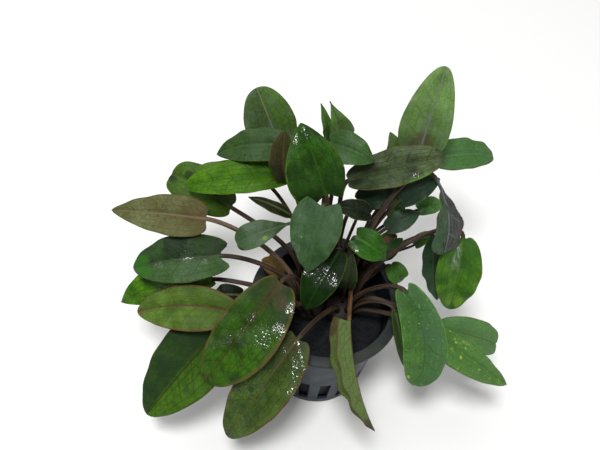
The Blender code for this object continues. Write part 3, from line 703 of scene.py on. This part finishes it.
def upper_side(add, finish, at, veins):
    """Colour of the upper side."""
    # Clouds of paler and darker green, some 5 to 10 mm across, and painted shade that darkens the blade
    # towards its base
    clouds = add(NOISE, Vector=at.pattern, Scale=CLOUDS, Detail=6.0, Roughness=0.65)
    blur = 0.25 / finish.mottle
    clouds = add(S_CURVE, clouds, 0.5 - blur, 0.5 + blur, 0.0, 1.0)
    # Painted shade: the clouds are pulled darker towards the base and lighter towards the tip
    towards_tip = add(S_CURVE, at.along, -0.1, 0.8, 0.3, 1.3)
    clouds = add(TIMES, clouds, towards_tip)
    colour = add(MIX, clouds, finish.dark, finish.light)
    for half, code in ((-1, finish.left), (1, finish.right)):
        if code:
            tint = add(S_CURVE, at.across, 0.0, 0.12 * half, 0.0, 0.75)
            uneven = add(S_CURVE, at.wander, 0.3, 0.7, 1.15, 0.8)
            tint = add(TIMES, tint, uneven)
            colour = add(MIX, tint, colour, code)
    if finish.base:
        # Brown runs up from the stalk beside the midrib
        brown = add(TIMES_PLUS, at.side_x, 0.09, at.along)
        brown = add(TIMES_PLUS, at.ragged, -0.5, brown)
        brown = add(S_CURVE, brown, -0.25, 0.3, 0.9, 0.0)
        colour = add(MIX, brown, colour, finish.base)
    # Clusters of cells and small air spaces speckle the tissue
    speckles = add(NOISE, Vector=at.pattern, Scale=SPECKLES, Detail=3.0, Roughness=0.6)
    speckles = add(RANGE, speckles, 0.3, 0.7, 0.86, 1.1)
    colour = add(VECTOR_TIMES, colour, speckles)
    colour = add(MIX, veins, colour, finish.vein)
    # Painted grey sheen: a pale grey-green laid over the colour in patches, standing in for a milky
    # reflection
    film = add(NOISE, Vector=at.pattern, Scale=FILM_PATCHES, Detail=5.0, Roughness=0.65)
    film = add(S_CURVE, film, 0.42, 0.64, 0.2 * finish.film, 1.6 * finish.film)
    return add(MIX, film, colour, "6E7C70")


def patch(add, spec, at, across, along, radius):
    """Mask, 1 inside and 0 outside, of a patch of the blade with a ragged edge."""
    millimetres = (spec.width / 2, (Vector(spec.tip) - Vector(spec.base)).length, 0)
    away = add(VECTOR_MINUS, at.share, (across, along, 0))
    away = add(VECTOR_TIMES, away, millimetres)
    away = add(VECTOR_LENGTH, away)
    away = add(TIMES_PLUS, at.ragged, radius, away)
    return add(S_CURVE, away, 1.05 * radius, 1.6 * radius, 1.0, 0.0)


def leaf_marks(add, spec, finish, at, colour):
    """A leaf's colour with its margin, spots, flecks, midrib and stalk laid over it."""
    edge = add(TIMES_PLUS, at.ragged, 0.12, at.side_share)
    border = 1.3 * finish.border / (spec.width / 2)
    edge = add(S_CURVE, edge, 1.04 - border, 1.05, 0.0, 0.8)
    marks = [(add(TIMES, edge, at.on_blade), finish.margin)]
    for across, along, radius, code in finish.spots:
        spot = patch(add, spec, at, across, along, radius)
        marks.append((add(TIMES, spot, 0.85), code))
    if finish.flecks:
        flecks = add(NOISE, Vector=at.pattern, Scale=FLECKS, Detail=2.0)
        flecks = add(S_CURVE, flecks, 0.62, 0.7, 0.0, 0.75)
        marks.append((add(TIMES, flecks, at.on_blade), finish.flecks))
    # The midrib runs on from the stalk and thins towards the tip
    rib_width = add(RANGE, at.along, 0.0, 1.0, 0.58, 0.18)
    rib = add(DIVIDED_BY, at.side_x, rib_width)
    marks.append((add(S_CURVE, rib, 0.45, 1.15, 0.85, 0.0), finish.midrib))
    for share, code in marks:
        colour = add(MIX, share, colour, code)
    # The stalk: brown, with fine streaks along it
    streaks = add(VECTOR_TIMES, at.pattern, (STREAKS_ACROSS, STREAKS_ALONG, 1.0))
    streaks = add(NOISE, Vector=streaks, Scale=1.0, Detail=3.0)
    streaks = add(RANGE, streaks, 0.35, 0.7)
    brown = add(MIX, streaks, finish.stalk, "1E1A12")
    on_stalk = add(S_CURVE, at.y, -3.0, 1.0, 1.0, 0.0)
    return add(MIX, on_stalk, colour, brown)


def leaf_tissue(add, spec, finish, index):
    """Living leaf: waxy green tissue with a net of veins, which gives the eye a satin green with paler
    clouds, thin darker veins that lie sunk in it, and small glints where it is wet."""
    at = leaf_places(add, index)
    veins = leaf_veins(add, finish, at)
    dark_veins = add(TIMES, veins, 0.85)
    above = upper_side(add, finish, at, dark_veins)
    below = add(MIX, dark_veins, finish.under, finish.vein)
    colour = add(MIX, at.upper, below, above)
    colour = leaf_marks(add, spec, finish, at, colour)
    # Relief: sunk veins and cells
    cells = add(NOISE, Vector=at.pattern, Scale=CELLS, Detail=3.0)
    height = add(TIMES_PLUS, veins, -0.5, cells)
    bump = add(BUMP, Height=height, Strength=0.7, Distance=0.22 * MM)
    rough = add(RANGE, cells, 0.3, 0.7, finish.rough - 0.06, finish.rough + 0.08)
    skin = {"Base Color": colour, "Roughness": rough, "Normal": bump, "IOR": 1.45,
            "Specular IOR Level": finish.gloss,
            "Subsurface Weight": 0.06, "Subsurface Radius": (0.5, 1.0, 0.3), "Subsurface Scale": MM}
    if not finish.wet:
        return skin
    # Wet patches: a thin clear film that lies uneven over the cells, so that it glints in small flecks
    wet = None
    for across, along, radius in finish.wet:
        more = patch(add, spec, at, across, along, radius)
        wet = more if wet is None else add(LARGER, wet, more)
    film = add(NOISE, Vector=at.pattern, Scale=WET_FLECKS, Detail=1.5, Roughness=0.45)
    skin["Coat Weight"] = add(TIMES, wet, at.upper)
    skin["Coat Roughness"] = 0.04
    skin["Coat IOR"] = 1.6
    skin["Coat Normal"] = add(BUMP, Height=film, Strength=1.0, Distance=0.42 * MM)
    return skin


def stem_tissue(add):
    """Old stem tissue with the scars of lost leaves: brown, dull and streaked."""
    where = add(OBJECT_PLACE)
    grain = add(NOISE, Vector=where, Scale=STEM_GRAIN / MM, Detail=5.0)
    colour = add(MIX, grain, "120E0B", "2C231B")
    bump = add(BUMP, Height=grain, Strength=0.7, Distance=0.4 * MM)
    return {"Base Color": colour, "Roughness": 0.7, "Normal": bump, "IOR": 1.45}


def wet_wool(add):
    """Mineral wool, wet and stained dark, and painted nearly black as the shade deep in the pot, with
    faint blue-grey clouds and fibres.
    """
    where = add(OBJECT_PLACE)
    clouds = add(NOISE, Vector=where, Scale=WOOL_CLOUDS / MM, Detail=5.0)
    clouds = add(S_CURVE, clouds, 0.45, 0.7)
    fibres = add(NOISE, Vector=where, Scale=WOOL_FIBRES / MM, Detail=3.0)
    # Nearly black: partly the wool's own wet stain, partly painted shade of the pot's inside
    colour = add(MIX, clouds, "06090F", "11161A")
    bump = add(BUMP, Height=fibres, Strength=0.8, Distance=0.3 * MM)
    return {"Base Color": colour, "Roughness": 0.85, "Normal": bump, "IOR": 1.4}


def pot_plastic(add):
    """Polypropylene, injection moulded: blue-black and dull. A thin grey film of lime lies on the wall, a
    green-brown one of algae in patches on the lip, and the wall's inner side is painted nearly black as
    shade."""
    where = add(OBJECT_PLACE)
    east, north, height = add(SEPARATE, where).outputs
    patches = add(NOISE, Vector=where, Scale=ALGAE_PATCHES / MM, Detail=6.0, Roughness=0.65)
    lime_low, lime_high, algae_low, algae_high = (z * MM for z in LIME_FADE + ALGAE_FADE)
    lime = add(S_CURVE, height, lime_low, lime_high, 1.0, 0.0)
    uneven = add(S_CURVE, patches, 0.25, 0.75, 0.7, 1.0)
    lime = add(TIMES, lime, uneven)
    # There is more algae towards the right, with darker specks in it
    near_lip = add(S_CURVE, height, algae_low, algae_high, 0.0, 1.0)
    algae = add(TIMES_PLUS, east, 3.0, patches)
    algae = add(S_CURVE, algae, 0.42, 0.66, 0.0, 0.8)
    algae = add(TIMES, near_lip, algae)
    specks = add(NOISE, Vector=where, Scale=ALGAE_SPECKS / MM, Detail=3.0)
    specks = add(S_CURVE, specks, 0.54, 0.62, 0.0, 0.85)
    specks = add(TIMES, specks, algae)
    # Painted shade: the wall's inner side, from 0.7 mm inside the outer radius at each height, is coloured
    # near black
    east_squared = add(TIMES, east, east)
    out = add(TIMES_PLUS, north, north, east_squared)
    out = add(SQUARE_ROOT, out)
    taper = (POT_TOP_RADIUS - POT_BASE_RADIUS) / POT_HEIGHT
    depth = add(TIMES_PLUS, height, -taper, out)
    inner = (POT_BASE_RADIUS - POT_WALL) * MM
    inside = add(S_CURVE, depth, inner + 0.1 * MM, inner + 0.5 * MM, 1.0, 0.0)
    colour = "1C232C"
    # Lime, algae and specks are the plastic's own marks; the near black of the inner side is painted shade
    for share, code in ((lime, "242D38"), (algae, "2B3124"), (specks, "1A2218"), (inside, "12161E")):
        colour = add(MIX, share, colour, code)
    grain = add(NOISE, Vector=where, Scale=MOULD_GRAIN / MM, Detail=2.0)
    bump = add(BUMP, Height=grain, Strength=0.25, Distance=0.1 * MM)
    rough = add(RANGE, patches, 0.3, 0.7, 0.4, 0.62)
    return {"Base Color": colour, "Roughness": rough, "Normal": bump, "IOR": 1.49,
            "Specular IOR Level": 0.3}


def paper(add):
    """Paper, matt and off-white: it takes soft shadows and adds no colour."""
    return {"Base Color": "F2F2F0", "Roughness": 0.9, "IOR": 1.45}


def make_leaf(index, key):
    """One leaf: its stalk and its blade in one closed body."""
    name = "leaf_" + key
    spec, finish = LEAVES[key], LOOKS[key]
    s, upper = ring_points(spec)
    rings = stalk_rings(spec, s, upper)
    rings += blade_rings(spec, finish, np.random.default_rng(LEAF_SEED + index), s, upper)
    points, place, share = (np.concatenate(part) for part in zip(*rings))
    # Waves of the margin stay inside the box of the frame
    points = np.clip(points, *(np.array(corner) / MM for corner in CAD_BOX))
    tissue = make_material("leaf tissue " + key, leaf_tissue, spec, finish, index)
    piece = make_mesh(name + "_grown", points, ring_faces(len(rings), len(s)), tissue, place=place,
                      share=share)
    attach(piece, "root")
    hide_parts(name)


def pot_radius(height):
    """Outer radius of the tapered pot wall."""
    return POT_BASE_RADIUS + (POT_TOP_RADIUS - POT_BASE_RADIUS) * height / POT_HEIGHT


def pot_profiles():
    """Radius and height of the rows of points outside and inside, from the floor to the lip."""
    edge, step, wall = EDGE_ROUNDING, EDGE_STEP, POT_WALL
    under = POT_HEIGHT - LIP_THICKNESS
    floor_slot = (FLOOR_SLOT_INNER, (FLOOR_SLOT_INNER + FLOOR_SLOT_OUTER) / 2, FLOOR_SLOT_OUTER)
    wall_slot = (SLOT_BOTTOM, (SLOT_BOTTOM + SLOT_TOP) / 2, SLOT_TOP)
    outer = [(radius, 0) for radius in floor_slot]
    outer += [(POT_BASE_RADIUS - edge, 0), (POT_BASE_RADIUS - step, step), (POT_BASE_RADIUS, edge)]
    outer += [(pot_radius(z), z) for z in (*wall_slot, *WALL_ROWS, under - edge)]
    outer += [(pot_radius(under) + edge, under), (LIP_RADIUS - edge, under), (LIP_RADIUS, under + edge),
              (LIP_RADIUS, POT_HEIGHT - edge), (LIP_RADIUS - step, POT_HEIGHT - step),
              (LIP_RADIUS - edge, POT_HEIGHT)]
    inner = [(radius, FLOOR_THICKNESS) for radius in floor_slot]
    inner += [(POT_BASE_RADIUS - wall - edge, FLOOR_THICKNESS),
              (POT_BASE_RADIUS - wall, FLOOR_THICKNESS + edge), (pot_radius(2) - wall, 2.2)]
    inner += [(pot_radius(z) - wall, z) for z in (*wall_slot, *WALL_ROWS, under)]
    inner += [(pot_radius(POT_HEIGHT) - wall, POT_HEIGHT - edge),
              (pot_radius(POT_HEIGHT) - wall + edge, POT_HEIGHT)]
    return outer, inner


def make_pot(plastic):
    """Net pot: a turned grid of floor, wall and lip faces, with slots left out and then given depth."""
    outer, inner = pot_profiles()
    # Rows of faces that the slots run through: two in the floor and two in the wall
    slotted = {0, 1, 6, 7}
    columns = 2 * SLOT_COUNT * POT_FACES
    points, faces, starts = [], [], []
    for profile in (outer, inner):
        starts.append(len(points))
        for radius, height in profile:
            for c in range(columns):
                angle = 2 * math.pi * c / columns
                points.append((radius * math.cos(angle), radius * math.sin(angle), height))

    def at(grid, row, column):
        """Number of a point of the outer or inner grid."""
        return starts[grid] + row * columns + column % columns

    def open_cell(row, column):
        """Whether a cell of the grid is part of a slot."""
        return row in slotted and (column % columns) // POT_FACES % 2 == 1

    for grid, profile, turn in ((0, outer, 1), (1, inner, -1)):
        for row in range(len(profile) - 1):
            for c in range(columns):
                if not open_cell(row, c):
                    faces.append((at(grid, row, c), at(grid, row, c + 1), at(grid, row + 1, c + 1),
                                  at(grid, row + 1, c))[::turn])
        faces.append(tuple(at(grid, 0, c) for c in range(columns))[::-turn])
    last_out, last_in = len(outer) - 1, len(inner) - 1
    for c in range(columns):
        faces.append((at(0, last_out, c), at(0, last_out, c + 1),
                      at(1, last_in, c + 1), at(1, last_in, c)))
        for row in slotted:
            if not open_cell(row, c):
                continue
            corners = ((row, c), (row, c + 1), (row + 1, c + 1), (row + 1, c))
            neighbours = ((row - 1, c), (row, c + 1), (row + 1, c), (row, c - 1))
            for (a, b), other in zip(zip(corners, corners[1:] + corners[:1]), neighbours):
                if not open_cell(*other):
                    faces.append((at(0, *a), at(0, *b), at(1, *b), at(1, *a)))
    piece = make_mesh("net_pot_moulded", points, faces, plastic)
    piece.data.set_sharp_from_angle(angle=math.radians(40))
    bevel = piece.modifiers.new("rounded slot edges", "BEVEL")
    bevel.width = SLOT_EDGE_ROUNDING * MM
    bevel.segments = 2
    bevel.limit_method = "ANGLE"
    bevel.angle_limit = math.radians(60)
    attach(piece, "root")
    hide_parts("net_pot")


def wool_fibre(rng, reach):
    """Rings of points of one loose fibre on top of the medium, which bends and stays within reach."""
    radius = reach * 0.94 * math.sqrt(rng.random())
    turn, bearing = rng.uniform(0, 2 * math.pi, 2)
    start = np.array([radius * math.cos(turn), radius * math.sin(turn), MEDIUM_TOP - 0.1])
    length, bend = rng.uniform(*FIBRE_LENGTHS), rng.uniform(-1.5, 1.5)
    points = []
    for s in np.linspace(0, 1, FIBRE_RINGS):
        heading = bearing + bend * s
        way = np.array([math.cos(heading), math.sin(heading), 0.12 * math.sin(3 * s)])
        centre = start + s * length * way
        out = math.hypot(centre[0], centre[1])
        if out > reach - 0.6:
            centre[:2] *= (reach - 0.6) / out
        for k in range(FIBRE_SIDES):
            a = 2 * math.pi * k / FIBRE_SIDES
            offset = np.array([-math.sin(heading) * math.cos(a), math.cos(heading) * math.cos(a),
                               math.sin(a)])
            points.append(centre + FIBRE_RADIUS * offset)
    return points


def make_medium(wool):
    """Growing medium: a lumpy plug with loose fibres on its top."""
    rng = np.random.default_rng(FIBRE_SEED)
    bottom = FLOOR_THICKNESS + GAP
    low = POT_BASE_RADIUS - POT_WALL - GAP
    top = pot_radius(MEDIUM_TOP) - POT_WALL - GAP
    profile = [(low - 1, bottom), (low, bottom + 1), (0.5 * (low + top), 0.5 * (bottom + MEDIUM_TOP)),
               (top, MEDIUM_TOP - 1.5), (top - 0.5, MEDIUM_TOP - 0.4), (top - 1.5, MEDIUM_TOP)]
    profile += [(radius, MEDIUM_TOP) for radius in np.linspace(top - 2.5, 1.0, MEDIUM_TOP_RINGS)]
    angle = 2 * math.pi * np.arange(MEDIUM_SIDES) / MEDIUM_SIDES
    rows = []
    for radius, height in profile:
        x, y = radius * np.cos(angle), radius * np.sin(angle)
        lumps = ripples(x, y, BROAD_LUMP, np.random.default_rng(BROAD_LUMP_SEED))
        lumps += 0.5 * ripples(x, y, FINE_LUMP, np.random.default_rng(FINE_LUMP_SEED))
        z = np.full_like(x, height)
        if height > MEDIUM_TOP - 1:
            z = z - LUMP_DEPTH + LUMP_DEPTH * lumps
        rows.append(np.stack([x, y, z], 1))
    points = list(np.concatenate(rows))
    faces = ring_faces(len(rows), MEDIUM_SIDES)
    for _ in range(FIBRE_COUNT):
        faces += ring_faces(FIBRE_RINGS, FIBRE_SIDES, len(points))
        points += wool_fibre(rng, top)
    piece = make_mesh("growing_medium_wool", points, faces, wool)
    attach(piece, "root")
    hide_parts("growing_medium")


def make_crown(index, name, centre, stem):
    """Crown: a short, lumpy stem with rings of leaf scars."""
    angle = 2 * math.pi * np.arange(CROWN_SIDES) / CROWN_SIDES
    rows = []
    for k in np.linspace(0, 1, CROWN_RINGS):
        height = MEDIUM_TOP + GAP + k * CROWN_HEIGHT
        radius = (CROWN_RADIUS - 0.4) * (1 - 0.25 * (1 - smooth(k * 4)) - 0.12 * smooth((k - 0.8) * 5))
        scar = SCAR_DEPTH * np.sin(2 * math.pi * SCAR_ROWS * k + 0.8 * np.sin(3 * angle))
        lumps = ripples(np.cos(angle) * 6, np.sin(angle) * 6 + 3 * k, 3.0,
                        np.random.default_rng(CROWN_SEED + index))
        r = radius + scar + 0.25 * lumps
        rows.append(np.stack([centre[0] + r * np.cos(angle), centre[1] + r * np.sin(angle),
                              np.full(CROWN_SIDES, height)], 1))
    faces = ring_faces(len(rows), CROWN_SIDES)
    piece = make_mesh("crown_" + name + "_grown", np.concatenate(rows), faces, stem)
    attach(piece, "root")
    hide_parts("crown_" + name)


# The camera of the photograph
RIM_DISTANCE = 350.0
CAMERA_ELEVATION = 59.5
CAMERA_ROLL = 7.5
PICTURE_CENTRE = (-15.5, 30.0, 50.0)
FOCAL_LENGTH = 56.7
SENSOR_WIDTH = 36.0


def make_camera():
    """Camera above and in front of the pot, turned a little about its line of sight."""
    angle = math.radians(CAMERA_ELEVATION)
    eye = Vector((0, -RIM_DISTANCE * math.cos(angle), POT_HEIGHT + RIM_DISTANCE * math.sin(angle)))
    back = (eye - Vector(PICTURE_CENTRE)).normalized()
    right = Vector((0, 0, 1)).cross(back).normalized()
    up = back.cross(right)
    turn = Matrix((right, up, back)).transposed() @ Matrix.Rotation(math.radians(CAMERA_ROLL), 3, "Z")
    data = bpy.data.cameras.new("camera")
    data.sensor_width = SENSOR_WIDTH
    data.lens = FOCAL_LENGTH
    data.clip_start = 0.01
    data.clip_end = 20
    camera = bpy.data.objects.new("camera", data)
    camera.matrix_world = Matrix.Translation(eye * MM) @ turn.to_4x4()
    bpy.context.scene.collection.objects.link(camera)
    bpy.context.scene.camera = camera


def area_light(name, place, target, size, power):
    """Soft square light, with its place, target and size in metres and its power in watts."""
    data = bpy.data.lights.new(name, "AREA")
    data.size = size
    data.energy = power
    light = bpy.data.objects.new(name, data)
    light.location = place
    light.rotation_euler = (Vector(target) - Vector(place)).to_track_quat("-Z", "Y").to_euler()
    bpy.context.scene.collection.objects.link(light)


def make_light():
    """Faint daylight from all round, a broad box above and behind, and small ones above and low at
    the front right for the glints."""
    world = bpy.data.worlds.new("studio")
    world.use_nodes = True
    world.node_tree.nodes["Background"].inputs["Color"].default_value = (1, 1, 1, 1)
    world.node_tree.nodes["Background"].inputs["Strength"].default_value = 0.22
    bpy.context.scene.world = world
    area_light("broad box", (-0.35, 0.3, 0.85), (0, 0, 0.05), 0.8, 3.7)
    area_light("small box", (-0.08, -0.3, 1.0), (0, 0, 0.05), 0.21, 8.5)
    area_light("low box", (0.84, -0.5, 0.3), (0, 0, 0.06), 0.12, 1.8)


FLOOR_REACH = 3000.0


def make_floor(finish):
    """Pale plain floor."""
    corners = [(x * FLOOR_REACH, y * FLOOR_REACH, 0) for x, y in ((-1, -1), (1, -1), (1, 1), (-1, 1))]
    make_mesh("floor", corners, [(0, 1, 2, 3)], finish)


bpy.context.scene.view_settings.view_transform = "Standard"
make_camera()
make_light()
make_floor(make_material("paper, matt, off-white", paper))
make_pot(make_material("polypropylene, moulded, with algae film", pot_plastic))
make_medium(make_material("mineral wool, wet", wet_wool))
stem = make_material("stem tissue, scarred", stem_tissue)
for index, (name, centre) in enumerate(CROWNS.items()):
    make_crown(index, name, centre, stem)
for index, key in enumerate(LEAVES):
    make_leaf(index, key)
